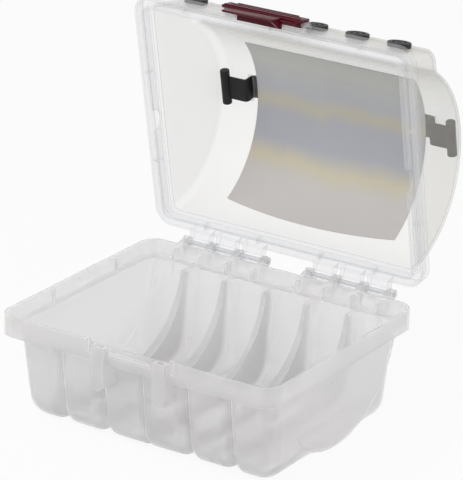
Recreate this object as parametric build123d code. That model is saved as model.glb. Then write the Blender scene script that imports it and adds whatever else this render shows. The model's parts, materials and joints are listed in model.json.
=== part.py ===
from build123d import *
import math
import os

# Line spool box, opened. Millimetres, X along the hinge, Y to the back, Z up.
# Pieces are made about the middle of the rim, standing on Z = 0. When written they
# are moved so that the origin lies below the middle of the opened box.

# Rim shared by the base and the lid
RIM_LENGTH = 289.0
RIM_WIDTH = 236.0
RIM_CORNER = 17.0
RIM_WALL = 2.2
BASE_HEIGHT = 102.0
PARTING_GAP = 0.3

# Base skirt and ledge
SKIRT_DEPTH = 19.0
BASE_LEDGE_DROP = 14.0
LEDGE_THICKNESS = 2.2

# Tub walls, sizes at the ledge and outside
TUB_WALL = 2.0
END_CHANNEL = 8.5
FRONT_CHANNEL = 13.0
BACK_CHANNEL = 10.5
END_DRAFT = 4.2
WALL_DRAFT = 5.0
FRONT_BEND = 25.0
BACK_BEND = 21.0

# Spool bays and the folded ribs between them
BAY_COUNT = 6
END_BAY_EXTRA = 2.5
GROOVE_WIDTH = 1.2
GROOVE_DRAFT = 1.5
BAY_ROUND = 9.0
CENTRE_GROOVE_WIDTH = 1.0
CENTRE_GROOVE_DRAFT = 0.4
CENTRE_ROUND = 4.0
END_ROUND = 19.0
RIB_EDGE_INSET = 15.5
RIB_EDGE_HEIGHT = 20.0
RIB_FRONT_DEPTH = 9.0
RIB_FRONT_BEND = 34.0

# Spools, which the ribs, the end bosses and the dome go round
SPOOL_Y = 11.0
DOME_MARGIN = 21.5
BOSS_MARGIN = 2.0
BOSS_INSET = 4.0
BOSS_ROUND = 5.0

# Half-round notch at the parting line in each end
NOTCH_RADIUS = 10.8
NOTCH_Y = 8.0
NOTCH_DROP = 1.0
NOTCH_WALL = 0.9

# Stiffening ribs in the rim channels
RIB_THICKNESS = 1.8
RIB_TOP_GAP = 2.6
BASE_RIB_REACH = 5.5
LUG_RIB_REACH = 12.0
END_RIB_FRONT_Y = -39.0
BASE_RIB_BACK_Y = 57.0
LID_RIB_BACK_Y = 53.0
FRONT_RIB_X = 92.0
LID_HINGE_RIB_X = 34.0

# Catch for the latch, on the front of the base
CATCH_LENGTH = 44.0
CATCH_DEPTH = 3.2
CATCH_HEIGHT = 4.0
CATCH_DROP = 10.2
LATCH_ZONE_DROP = 2.0
GUIDE_GAP = 2.0
GUIDE_WIDTH = 3.0
GUIDE_DEPTH = 2.8
GUIDE_RISE = 2.5
GUIDE_LENGTH = 12.0
GUARD_X = 32.0
GUARD_WIDTH = 12.0
GUARD_PROUD = 5.2
GUARD_TOP_DROP = 2.5
GUARD_BOTTOM_DROP = 43.0
GUARD_WALL = 2.0
GUARD_ROUND = 5.0

# Hinge
HINGE_BEHIND_RIM = 11.6
HINGE_DROP = 1.1
HINGE_PIN_DIAMETER = 4.0
HINGE_PIN_FIT = 0.05
BARREL_FIT = 0.1
BARREL_RADIUS = 5.0
FIRST_LUG_X = 24.0
LUG_PITCH = 29.0
LUG_COUNT = 4
LUG_WIDTH = 6.0
LUG_GAP = 0.6
PIN_PROUD = 0.6
HEEL_GAP = 0.35
HEEL_WIDTH = 8.0
HEEL_DEPTH = 4.5
LID_OPEN_ANGLE = 79.4

# Lid
LID_LEDGE_RISE = 10.4
TONGUE_INSET = 8.6
TONGUE_WALL = 1.9
TONGUE_DROP = 1.8
LID_WALL = 1.9
LID_END_CHANNEL = 12.1
LID_END_DRAFT = 1.6
DOME_CENTRE_RISE = 12.0
PORT_WALL_TILT = 19.0
LID_END_ROUND = 8.0
PORT_BOX_CHANNEL = 9.1
PORT_BOX_RISE = 71.0
PORT_BOX_SHOULDER = 18.0
PORT_BOX_BLEND = 9.0

# Rubber line ports
PORT_COUNT = 6
PORT_PITCH_STEP = 1.6
PORT_RISE = 44.0
PORT_DIAMETER = 21.5
PORT_PROUD = 4.5
PORT_NECK_DIAMETER = 14.0
PORT_NECK_FIT = 0.1
PORT_INNER_DIAMETER = 17.5
PORT_INNER_THICKNESS = 2.0
PORT_BORE = 3.2
PORT_EDGE_ROUND = 1.2
PORT_RING_RADIUS = 6.6
PORT_RING_SIZE = 0.7

# Carry strap
STRAP_Y = 17.0
STRAP_WIDTH = 23.0
STRAP_THICKNESS = 2.2
STRAP_TAB = 23.0
STRAP_LIFT = 0.35
STRAP_BEND = 3.0
STRAP_BAR_INSET = 10.4
STRAP_BAR_LENGTH = 35.0
STRAP_BAR_DIAMETER = 9.0
STRAP_BAR_GAP = 0.5
SLOT_CLEARANCE = 1.2

# Label sheet inside the dome
LABEL_END_GAP = 8.0
LABEL_THICKNESS = 0.6
LABEL_GAP = 0.25
LABEL_BACK_ANGLE = 18.0
LABEL_FRONT_ANGLE = 122.0

# Latch and its ears
LATCH_PIVOT_OUT = 4.4
LATCH_PIVOT_RISE = 4.6
LATCH_LENGTH = 69.0
LATCH_WALL = 2.3
LATCH_FRONT_GAP = 2.2
LATCH_TOE_GAP = 0.7
LIP_LENGTH = 46.0
LATCH_CATCH_GAP = 0.4
LATCH_BARREL_RADIUS = 3.6
LATCH_PIN_DIAMETER = 3.0
LATCH_PIN_FIT = 0.05
LATCH_SWING_OUT = 15.0
EAR_RADIUS = 4.0
EAR_THICKNESS = 5.6
EAR_GAP = 0.6
EAR_HEIGHT = 9.0
GRIP_OVERHANG = 7.2
GRIP_THICKNESS = 2.2
GRIP_HEIGHT = 14.0
GRIP_ROUND = 2.0
GRIP_RIDGES = 3
GRIP_RIDGE_STEP = 4.0
GRIP_RIDGE_DEPTH = 1.1
GRIP_RIDGE_HEIGHT = 2.6
GUSSET_X = 15.7
GUSSET_THICKNESS = 2.4

# Sizes and places worked out from the sizes above
TUB_LENGTH = RIM_LENGTH - 2 * END_CHANNEL
TUB_FRONT = RIM_WIDTH / 2 - FRONT_CHANNEL
TUB_BACK = RIM_WIDTH / 2 - BACK_CHANNEL
BAY_PITCH = (TUB_LENGTH - 2 * END_BAY_EXTRA) / BAY_COUNT
DOME_RADIUS = RIM_WIDTH / 2 - DOME_MARGIN
BOSS_RADIUS = DOME_RADIUS + BOSS_MARGIN
BOSS_LENGTH = TUB_LENGTH - 2 * BOSS_INSET
RIB_EDGE_RADIUS = DOME_RADIUS - RIB_EDGE_INSET
LID_LENGTH = RIM_LENGTH - 2 * LID_END_CHANNEL
PORT_BOX_FRONT = RIM_WIDTH / 2 - PORT_BOX_CHANNEL
PORT_PITCH = BAY_PITCH - PORT_PITCH_STEP
STRAP_BAR_X = LID_LENGTH / 2 - STRAP_BAR_INSET
STRAP_SLOT_X = STRAP_BAR_X - STRAP_TAB
LABEL_LENGTH = 2 * (STRAP_SLOT_X - LABEL_END_GAP)
EAR_X = LATCH_LENGTH / 2 + EAR_GAP
GUIDE_X = EAR_X + EAR_THICKNESS + GUIDE_GAP
GRIP_LENGTH = LATCH_LENGTH + 2 * GRIP_OVERHANG
RIM_TOP = BASE_HEIGHT
BASE_LEDGE = RIM_TOP - BASE_LEDGE_DROP
LID_BOTTOM = RIM_TOP + PARTING_GAP
LID_LEDGE = RIM_TOP + LID_LEDGE_RISE
RIM_FRONT_Y = -RIM_WIDTH / 2
RIM_BACK_Y = RIM_WIDTH / 2
RIM_END_X = RIM_LENGTH / 2
HINGE_Y = RIM_BACK_Y + HINGE_BEHIND_RIM
HINGE_Z = RIM_TOP - HINGE_DROP
DOME_CENTRE_Z = RIM_TOP + DOME_CENTRE_RISE
LATCH_Y = RIM_FRONT_Y - LATCH_PIVOT_OUT
LATCH_Z = RIM_TOP + LATCH_PIVOT_RISE
HINGE_AXIS = Axis((0, HINGE_Y, HINGE_Z), (1, 0, 0))
LATCH_AXIS = Axis((0, LATCH_Y, LATCH_Z), (1, 0, 0))
FAR = 400.0


def tan(degrees):
    return math.tan(math.radians(degrees))


def cos(degrees):
    return math.cos(math.radians(degrees))


def sin(degrees):
    return math.sin(math.radians(degrees))


def outline(points):
    """A flat face through points given in order."""
    return make_face(Polyline(*points, close=True))


def along_x(sketch, start, end):
    """Push a sketch drawn in (Y, Z) from one X to another."""
    return extrude(Plane.YZ.offset(start) * sketch, end - start)


def along_y(sketch, start, end):
    """Push a sketch drawn in (X, Z) from one Y to another."""
    plane = Plane(origin=(0, end, 0), x_dir=(1, 0, 0), z_dir=(0, -1, 0))
    return extrude(plane * sketch, end - start)


def block(x0, x1, y0, y1, z0, z1):
    """An upright block between two corners."""
    middle = Pos((x0 + x1) / 2, (y0 + y1) / 2, (z0 + z1) / 2)
    return middle * Box(x1 - x0, y1 - y0, z1 - z0)


def rod_x(y, z, radius, start, end):
    """A round bar along X."""
    return along_x(Pos(y, z) * Circle(radius), start, end)


def mirror_x(shape):
    """The same shape on the other side of the middle."""
    return mirror(shape, about=Plane.YZ)


def both_sides(shape):
    return [shape, mirror_x(shape)]


def rim_plate(inset, bottom, top):
    """A plate with the plan of the rim, drawn in by an inset."""
    length = RIM_LENGTH - 2 * inset
    width = RIM_WIDTH - 2 * inset
    plan = RectangleRounded(length, width, RIM_CORNER - inset)
    return extrude(Pos(0, 0, bottom) * plan, top - bottom)


def rim_ring(inset, wall, bottom, top):
    """An upright wall that follows the plan of the rim."""
    return rim_plate(inset, bottom, top) - rim_plate(inset + wall, bottom - 1, top + 1)


def vertex_near(sketch, y, z):
    """The corner of a sketch that lies nearest to a point."""
    return sketch.vertices().sort_by_distance((y, z, 0))[0]


def keep_between(sketch, low, high):
    """The part of a (Y, Z) sketch between two heights."""
    band = Pos(0, (low + high) / 2) * Rectangle(FAR * 2, high - low)
    return sketch & band


# Base

def tub_profile(inset, top):
    """Side view of the bays, from the drafted front wall round the floor to the back wall."""
    lean = tan(WALL_DRAFT)
    above = 30.0
    high = BASE_LEDGE + above
    points = [
        (-TUB_FRONT - above * lean, high),
        (-TUB_FRONT + BASE_LEDGE * lean, 0),
        (TUB_BACK - BASE_LEDGE * lean, 0),
        (TUB_BACK + above * lean, high),
    ]
    sketch = outline(points)
    sketch = fillet(vertex_near(sketch, *points[1]), FRONT_BEND)
    sketch = fillet(vertex_near(sketch, *points[2]), BACK_BEND)
    if inset > 0:
        sketch = offset(sketch, -inset)
    return keep_between(sketch, -1, top)


def bay_sides(index, inset):
    """X of a bay's two walls at the ledge, their drafts and the rounding beside each."""
    left_rib = (index - BAY_COUNT / 2) * BAY_PITCH
    sides = []
    for turn, place in ((1, left_rib), (-1, left_rib + BAY_PITCH)):
        if index == 0 and turn == 1 or index == BAY_COUNT - 1 and turn == -1:
            wall = -turn * TUB_LENGTH / 2
            draft = END_DRAFT
            rounding = END_ROUND
        elif abs(place) < 1:
            wall = place + turn * CENTRE_GROOVE_WIDTH / 2
            draft = CENTRE_GROOVE_DRAFT
            rounding = CENTRE_ROUND
        else:
            wall = place + turn * GROOVE_WIDTH / 2
            draft = GROOVE_DRAFT
            rounding = BAY_ROUND
        sides.append((wall + turn * inset, turn * tan(draft), rounding - inset))
    return sides


def bay(index, inset, top):
    """One convex bay of the tub, or its inside when drawn in by the wall."""
    (left, left_lean, left_round), (right, right_lean, right_round) = bay_sides(index, inset)
    rise = top - BASE_LEDGE
    points = [
        (left - rise * left_lean, top),
        (right - rise * right_lean, top),
        (right + BASE_LEDGE * right_lean, 0),
        (left + BASE_LEDGE * left_lean, 0),
    ]
    front_view = along_y(outline(points), -FAR / 2, FAR / 2)
    side_view = along_x(tub_profile(inset, top), -FAR / 2, FAR / 2)
    solid = front_view & side_view
    for place, rounding in ((0, left_round), (-1, right_round)):
        wall = solid.faces().sort_by(Axis.X)[place]
        edges = [edge for edge in wall.edges() if edge.center().Z < top - 0.01]
        solid = fillet(edges, rounding)
    return solid


def rib_profile(inset, top):
    """Side view of the free space inside the ribs, which is a saddle for the spools."""
    radius = RIB_EDGE_RADIUS + TUB_WALL - inset
    floor = RIB_EDGE_HEIGHT - TUB_WALL + inset
    lean = tan(WALL_DRAFT)
    high = BASE_LEDGE + 20.0
    front = -TUB_FRONT + RIB_FRONT_DEPTH - TUB_WALL + inset
    saddle = Pos(SPOOL_Y, floor + radius) * Circle(radius)
    points = [
        (front - 20.0 * lean, high),
        (front + (BASE_LEDGE - floor) * lean, floor),
        (SPOOL_Y, floor),
        (SPOOL_Y, high),
    ]
    front_part = outline(points)
    front_part = fillet(vertex_near(front_part, *points[1]), RIB_FRONT_BEND - inset)
    return keep_between(saddle + front_part, floor - 1, top) & tub_profile(inset, top)


def end_boss(inset, top):
    """The flange-shaped swelling at both ends, seen below the end walls."""
    radius = BOSS_RADIUS - inset
    disc = Pos(SPOOL_Y, BOSS_RADIUS) * Circle(radius)
    half = BOSS_LENGTH / 2 - inset
    solid = along_x(disc, -half, half)
    rims = solid.edges().filter_by(GeomType.CIRCLE)
    solid = fillet(rims, BOSS_ROUND - inset)
    middle = BAY_PITCH * (BAY_COUNT - 1) / 2
    solid -= block(-middle, middle, -FAR / 2, FAR / 2, -1, FAR)
    return solid & block(-FAR / 2, FAR / 2, -FAR / 2, FAR / 2, -1, top)


def tub_form(inset, top):
    """The six bays joined across their ribs."""
    middle = BAY_PITCH * (BAY_COUNT - 1) / 2
    form = along_x(rib_profile(inset, top), -middle, middle)
    for index in range(BAY_COUNT):
        form += bay(index, inset, top)
    form += end_boss(inset, top)
    return form


def end_ribs(places, reach, low, high):
    """Small plates across the rim channel at both ends, at each Y of the list."""
    half = RIB_THICKNESS / 2
    ribs = []
    for y in places:
        ribs += both_sides(
            block(RIM_END_X - reach, RIM_END_X - 1, y - half, y + half, low, high))
    return ribs


def front_ribs(places, reach, low, high):
    """Small plates across the rim channel in front, at each X of the list."""
    half = RIB_THICKNESS / 2
    return [block(x - half, x + half, RIM_FRONT_Y + 1, RIM_FRONT_Y + reach, low, high)
            for x in places]


def back_ribs(places, reach, low, high):
    """Small plates across the rim channel at the back, at each X of the list."""
    half = RIB_THICKNESS / 2
    return [block(x - half, x + half, RIM_BACK_Y - reach, RIM_BACK_Y - 1, low, high)
            for x in places]


def end_notches(inner, outer, z):
    """Cutters for the half-round notch in both ends, from one inset of the rim to another."""
    return both_sides(rod_x(NOTCH_Y, z, NOTCH_RADIUS, RIM_END_X - inner, RIM_END_X - outer))


def lug_places():
    """X of every base lug, on both hinge groups."""
    places = []
    for index in range(LUG_COUNT):
        x = FIRST_LUG_X + index * LUG_PITCH
        places += [x, -x]
    return places


def hinge_lug(x):
    """A base lug with its eye for the pin."""
    behind = RIM_BACK_Y - RIM_WALL / 2
    reach = BARREL_RADIUS * 0.7
    web = outline([
        (behind, RIM_TOP - 0.5),
        (HINGE_Y - reach, HINGE_Z + reach),
        (HINGE_Y + reach * 0.8, HINGE_Z - reach),
        (behind, RIM_TOP - SKIRT_DEPTH + 3),
    ])
    form = web + Pos(HINGE_Y, HINGE_Z) * Circle(BARREL_RADIUS)
    return along_x(form, x - LUG_WIDTH / 2, x + LUG_WIDTH / 2)


def latch_catch():
    """The bar on the front of the skirt that the latch hooks under."""
    top = RIM_TOP - CATCH_DROP + CATCH_HEIGHT
    front = RIM_FRONT_Y - CATCH_DEPTH
    side = outline([
        (RIM_FRONT_Y + 1, RIM_TOP - CATCH_DROP),
        (front, RIM_TOP - CATCH_DROP),
        (front, top - CATCH_DEPTH / 2),
        (RIM_FRONT_Y, top),
        (RIM_FRONT_Y + 1, top),
    ])
    return along_x(side, -CATCH_LENGTH / 2, CATCH_LENGTH / 2)


def guide_tab():
    """An upright tab beside the latch, which guides the lid's front edge."""
    front = RIM_FRONT_Y - GUIDE_DEPTH
    side = outline([
        (RIM_FRONT_Y + 1, RIM_TOP - GUIDE_LENGTH),
        (RIM_FRONT_Y, RIM_TOP - GUIDE_LENGTH),
        (front, RIM_TOP - GUIDE_LENGTH + GUIDE_DEPTH),
        (front, RIM_TOP + GUIDE_RISE),
        (RIM_FRONT_Y - PARTING_GAP, RIM_TOP + GUIDE_RISE),
        (RIM_FRONT_Y - PARTING_GAP, RIM_TOP - 1),
        (RIM_FRONT_Y + 1, RIM_TOP - 1),
    ])
    return along_x(side, GUIDE_X, GUIDE_X + GUIDE_WIDTH)


def guard_outline(inset):
    """Front view of a guard column with its rounded foot."""
    top = RIM_TOP - GUARD_TOP_DROP
    bottom = RIM_TOP - GUARD_BOTTOM_DROP + inset
    shape = Rectangle(GUARD_WIDTH - 2 * inset, top - bottom)
    shape = fillet(shape.vertices().group_by(Axis.Y)[0], GUARD_ROUND - inset)
    return Pos(GUARD_X, (top + bottom) / 2) * shape


def guard_column():
    """The hollow column beside the catch, from the tub's wall out past the skirt."""
    front = RIM_FRONT_Y - GUARD_PROUD
    column = along_y(guard_outline(0), front, -TUB_FRONT + 4)
    upper = block(0, FAR, RIM_FRONT_Y + 1, 0, BASE_LEDGE, FAR)
    return column - upper


def guard_space():
    """The hollow of the column, below the ledge and in front of the skirt."""
    front = RIM_FRONT_Y - GUARD_PROUD + GUARD_WALL
    hollow = along_y(guard_outline(GUARD_WALL), front, -TUB_FRONT + 4)
    under = hollow & block(0, FAR, -FAR, 0, 0, BASE_LEDGE - LEDGE_THICKNESS)
    outside = hollow & block(0, FAR, -FAR, RIM_FRONT_Y, 0, FAR)
    return under + outside


def make_base_tub():
    """Base: bays, ledge, skirt, catch, guards and hinge lugs in one moulding."""
    outside = tub_form(0, BASE_LEDGE)
    inside = tub_form(TUB_WALL, BASE_LEDGE + 1)
    ledge = rim_plate(RIM_WALL / 2, BASE_LEDGE - LEDGE_THICKNESS, BASE_LEDGE)
    tub = outside + ledge
    tub += both_sides(guard_column())
    tub -= both_sides(guard_space())
    tub += rim_ring(0, RIM_WALL, RIM_TOP - SKIRT_DEPTH, RIM_TOP)
    low = BASE_LEDGE - 1
    high = RIM_TOP - RIB_TOP_GAP
    tub += end_ribs((END_RIB_FRONT_Y, BASE_RIB_BACK_Y), BASE_RIB_REACH, low, high)
    tub += front_ribs((-FRONT_RIB_X, 0, FRONT_RIB_X), BASE_RIB_REACH, low, high)
    tub += back_ribs(lug_places(), LUG_RIB_REACH, low, high)
    tub -= inside
    tub -= block(-GUIDE_X, GUIDE_X, RIM_FRONT_Y - 1, RIM_FRONT_Y + RIM_WALL + 1,
                 RIM_TOP - LATCH_ZONE_DROP, RIM_TOP + 1)
    tub -= end_notches(RIM_WALL + 1, NOTCH_WALL, RIM_TOP)
    tub += latch_catch()
    tub += both_sides(guide_tab())
    for x in lug_places():
        tub += hinge_lug(x)
    bore = HINGE_PIN_DIAMETER / 2 + HINGE_PIN_FIT
    tub -= rod_x(HINGE_Y, HINGE_Z, bore, -RIM_END_X, RIM_END_X)
    return tub


def make_hinge_pin():
    """The pin of the right hinge group."""
    start = FIRST_LUG_X - LUG_WIDTH / 2 - PIN_PROUD
    end = FIRST_LUG_X + (LUG_COUNT - 1) * LUG_PITCH + LUG_WIDTH / 2 + PIN_PROUD
    pin = rod_x(HINGE_Y, HINGE_Z, HINGE_PIN_DIAMETER / 2, start, end)
    return chamfer(pin.edges().filter_by(GeomType.CIRCLE), 0.4)


# Lid, made closed and turned open at the end

def lid_profile(inset):
    """Side view of the lid: back wall, dome over the spools and the port box in front."""
    below = 20.0
    low = LID_LEDGE - below
    lean = tan(PORT_WALL_TILT)
    back = SPOOL_Y + DOME_RADIUS
    box_top = RIM_TOP + PORT_BOX_RISE
    front_low = -PORT_BOX_FRONT - below * lean
    front_high = -PORT_BOX_FRONT + (box_top - LID_LEDGE) * lean
    dome = Pos(SPOOL_Y, DOME_CENTRE_Z) * Circle(DOME_RADIUS)
    dome = keep_between(dome, LID_LEDGE, FAR)
    walls = outline([
        (front_low, low),
        (front_high, box_top),
        (SPOOL_Y, box_top),
        (SPOOL_Y, DOME_CENTRE_Z),
        (back, DOME_CENTRE_Z),
        (back, low),
    ])
    sketch = dome + walls
    sketch = fillet(vertex_near(sketch, front_high, box_top), PORT_BOX_SHOULDER)
    across = math.sqrt(DOME_RADIUS**2 - (box_top - DOME_CENTRE_Z) ** 2)
    sketch = fillet(vertex_near(sketch, SPOOL_Y - across, box_top), PORT_BOX_BLEND)
    if inset > 0:
        sketch = offset(sketch, -inset)
    return sketch


def lid_form(inset, bottom):
    """The lid's hollow body above the ledge, or its inside."""
    side_view = along_x(keep_between(lid_profile(inset), bottom, FAR), -FAR / 2, FAR / 2)
    lean = tan(LID_END_DRAFT)
    half = LID_LENGTH / 2 - inset
    drop = LID_LEDGE - bottom
    height = FAR - LID_LEDGE
    points = [
        (-half - drop * lean, bottom),
        (half + drop * lean, bottom),
        (half - height * lean, FAR),
        (-half + height * lean, FAR),
    ]
    solid = along_y(outline(points), -FAR / 2, FAR / 2) & side_view
    for place in (0, -1):
        wall = solid.faces().sort_by(Axis.X)[place]
        edges = [edge for edge in wall.edges() if edge.center().Z > bottom + 0.01]
        solid = fillet(edges, LID_END_ROUND - inset)
    return solid


def port_places():
    """X of each line port."""
    middle = (PORT_COUNT - 1) / 2
    return [(index - middle) * PORT_PITCH for index in range(PORT_COUNT)]


def port_plane(x):
    """The plane of the port box's front wall at one port, facing out."""
    rise = RIM_TOP + PORT_RISE - LID_LEDGE
    y = -PORT_BOX_FRONT + rise * tan(PORT_WALL_TILT)
    outward = (0, -cos(PORT_WALL_TILT), sin(PORT_WALL_TILT))
    return Plane(origin=(x, y, LID_LEDGE + rise), x_dir=(1, 0, 0), z_dir=outward)


def ear():
    """The right ear that carries the latch's pin."""
    inside = RIM_FRONT_Y + RIM_WALL / 2
    web = outline([
        (inside, LID_BOTTOM),
        (LATCH_Y, LATCH_Z - EAR_RADIUS + 0.2),
        (LATCH_Y, LATCH_Z + EAR_RADIUS),
        (inside, LID_BOTTOM + EAR_HEIGHT),
    ])
    form = web + Pos(LATCH_Y, LATCH_Z) * Circle(EAR_RADIUS)
    return along_x(form, EAR_X, EAR_X + EAR_THICKNESS)


def hinge_barrels():
    """The lid's barrels, one between each two base lugs."""
    barrels = []
    behind = RIM_BACK_Y - RIM_WALL / 2
    reach = BARREL_RADIUS * 0.7
    web = outline([
        (behind, LID_BOTTOM + 0.3),
        (HINGE_Y - reach, HINGE_Z - reach + 4),
        (HINGE_Y - reach, HINGE_Z - reach),
        (HINGE_Y + reach, HINGE_Z + reach),
        (behind, LID_BOTTOM + 11),
    ])
    form = web + Pos(HINGE_Y, HINGE_Z) * Circle(BARREL_RADIUS)
    for index in range(LUG_COUNT - 1):
        start = FIRST_LUG_X + index * LUG_PITCH + LUG_WIDTH / 2 + LUG_GAP
        end = start + LUG_PITCH - LUG_WIDTH - 2 * LUG_GAP
        barrels += both_sides(along_x(form, start, end))
    return barrels


def hinge_heels():
    """Heels on the lid's barrels, which rest against the base's skirt when the lid is open."""
    tip = RIM_BACK_Y + HEEL_GAP
    opened_side = outline([
        (tip, HINGE_Z),
        (HINGE_Y, HINGE_Z),
        (HINGE_Y, HINGE_Z - HEEL_DEPTH),
        (tip, HINGE_Z - HEEL_DEPTH),
    ])
    heels = []
    for index in range(LUG_COUNT - 1):
        x = FIRST_LUG_X + (index + 0.5) * LUG_PITCH
        heel = along_x(opened_side, x - HEEL_WIDTH / 2, x + HEEL_WIDTH / 2)
        heels += both_sides(heel.rotate(HINGE_AXIS, LID_OPEN_ANGLE))
    return heels


def strap_slots():
    """The two slots in the dome that the strap passes through."""
    half = STRAP_THICKNESS / 2 + SLOT_CLEARANCE
    x = STRAP_SLOT_X
    half_width = STRAP_WIDTH / 2 + SLOT_CLEARANCE
    low = DOME_CENTRE_Z + DOME_RADIUS - 12
    slot = block(x - half, x + half, STRAP_Y - half_width, STRAP_Y + half_width, low, low + 20)
    return both_sides(slot)


def make_lid_shell():
    """Clear lid: skirt and inner tongue, dome with port box, hinge barrels and latch ears."""
    shell = lid_form(0, LID_LEDGE)
    shell += rim_plate(0, LID_LEDGE, LID_LEDGE + LEDGE_THICKNESS)
    shell += rim_ring(0, RIM_WALL, LID_BOTTOM, LID_LEDGE + 1)
    shell += rim_ring(TONGUE_INSET, TONGUE_WALL, RIM_TOP - TONGUE_DROP, LID_LEDGE + 1)
    low = LID_BOTTOM + RIB_TOP_GAP
    high = LID_LEDGE + 1
    reach = TONGUE_INSET + TONGUE_WALL / 2
    shell += end_ribs((END_RIB_FRONT_Y, LID_RIB_BACK_Y), reach, low, high)
    shell += front_ribs((-FRONT_RIB_X, 0, FRONT_RIB_X), reach, low, high)
    hinge_side = (-FRONT_RIB_X, -LID_HINGE_RIB_X, LID_HINGE_RIB_X, FRONT_RIB_X)
    shell += back_ribs(hinge_side, reach, low, high)
    shell -= lid_form(LID_WALL, LID_LEDGE - 1)
    inner = TONGUE_INSET + TONGUE_WALL + 1
    shell -= end_notches(inner, TONGUE_INSET - 1, RIM_TOP - NOTCH_DROP)
    shell += both_sides(ear())
    shell += hinge_barrels()
    shell += hinge_heels()
    shell -= strap_slots()
    for x in port_places():
        hole = Cylinder(PORT_NECK_DIAMETER / 2 + PORT_NECK_FIT, 3 * LID_WALL + 4)
        shell -= port_plane(x) * hole
    hinge_bore = HINGE_PIN_DIAMETER / 2 + BARREL_FIT
    shell -= rod_x(HINGE_Y, HINGE_Z, hinge_bore, -RIM_END_X, RIM_END_X)
    latch_bore = LATCH_PIN_DIAMETER / 2 + LATCH_PIN_FIT
    shell -= rod_x(LATCH_Y, LATCH_Z, latch_bore, -RIM_END_X, RIM_END_X)
    return shell


def make_line_port(x):
    """A rubber bushing: outer flange, neck through the wall and inner flange."""
    outer = PORT_DIAMETER / 2
    neck = PORT_NECK_DIAMETER / 2
    inner = PORT_INNER_DIAMETER / 2
    bore = PORT_BORE / 2
    section = outline([
        (bore, -LID_WALL - PORT_INNER_THICKNESS),
        (inner, -LID_WALL - PORT_INNER_THICKNESS),
        (inner, -LID_WALL),
        (neck, -LID_WALL),
        (neck, 0),
        (outer, 0),
        (outer, PORT_PROUD),
        (bore, PORT_PROUD),
    ])
    section = fillet(vertex_near(section, outer, PORT_PROUD), PORT_EDGE_ROUND)
    section -= Pos(PORT_RING_RADIUS, PORT_PROUD) * Circle(PORT_RING_SIZE)
    bushing = revolve(Plane.XZ * section, Axis.Z)
    return port_plane(x) * bushing


def make_carry_strap():
    """Flexible strap over the dome, its ends bent down through the slots to cross bars."""
    top = DOME_CENTRE_Z + DOME_RADIUS + STRAP_LIFT + STRAP_THICKNESS / 2
    bar_end = STRAP_Y + STRAP_BAR_LENGTH / 2 - SPOOL_Y
    ceiling = math.sqrt((DOME_RADIUS - LID_WALL) ** 2 - bar_end**2)
    bar_top = DOME_CENTRE_Z + ceiling - STRAP_BAR_GAP
    bar_z = bar_top - STRAP_BAR_DIAMETER / 2
    turn_x = STRAP_SLOT_X
    path = FilletPolyline(
        (-STRAP_BAR_X, STRAP_Y, bar_z),
        (-turn_x, STRAP_Y, bar_z),
        (-turn_x, STRAP_Y, top),
        (turn_x, STRAP_Y, top),
        (turn_x, STRAP_Y, bar_z),
        (STRAP_BAR_X, STRAP_Y, bar_z),
        radius=STRAP_BEND,
    )
    start = Plane(origin=path @ 0, x_dir=(0, 1, 0), z_dir=path % 0)
    strap = sweep(start * Rectangle(STRAP_WIDTH, STRAP_THICKNESS), path=path)
    bar = Cylinder(STRAP_BAR_DIAMETER / 2, STRAP_BAR_LENGTH, rotation=(90, 0, 0))
    bar = chamfer(bar.edges().filter_by(GeomType.CIRCLE), 0.8)
    for side in (-1, 1):
        strap += Pos(side * STRAP_BAR_X, STRAP_Y, bar_z) * bar
    return strap


def make_label_sheet():
    """Curved sheet that lies against the inside of the dome."""
    outer = DOME_RADIUS - LID_WALL - LABEL_GAP
    inner = outer - LABEL_THICKNESS
    middle = (LABEL_BACK_ANGLE + LABEL_FRONT_ANGLE) / 2
    half = (LABEL_FRONT_ANGLE - LABEL_BACK_ANGLE) / 2
    reach = DOME_RADIUS * 1.4
    wedge = outline([
        (0, 0),
        (reach * cos(middle - half), reach * sin(middle - half)),
        (reach * 1.3 * cos(middle), reach * 1.3 * sin(middle)),
        (reach * cos(middle + half), reach * sin(middle + half)),
    ])
    ring = (Circle(outer) - Circle(inner)) & wedge
    return along_x(Pos(SPOOL_Y, DOME_CENTRE_Z) * ring, -LABEL_LENGTH / 2, LABEL_LENGTH / 2)


def make_latch_pin():
    """The pin through the ears and the latch."""
    half = EAR_X + EAR_THICKNESS
    pin = rod_x(LATCH_Y, LATCH_Z, LATCH_PIN_DIAMETER / 2, -half, half)
    return chamfer(pin.edges().filter_by(GeomType.CIRCLE), 0.3)


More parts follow.
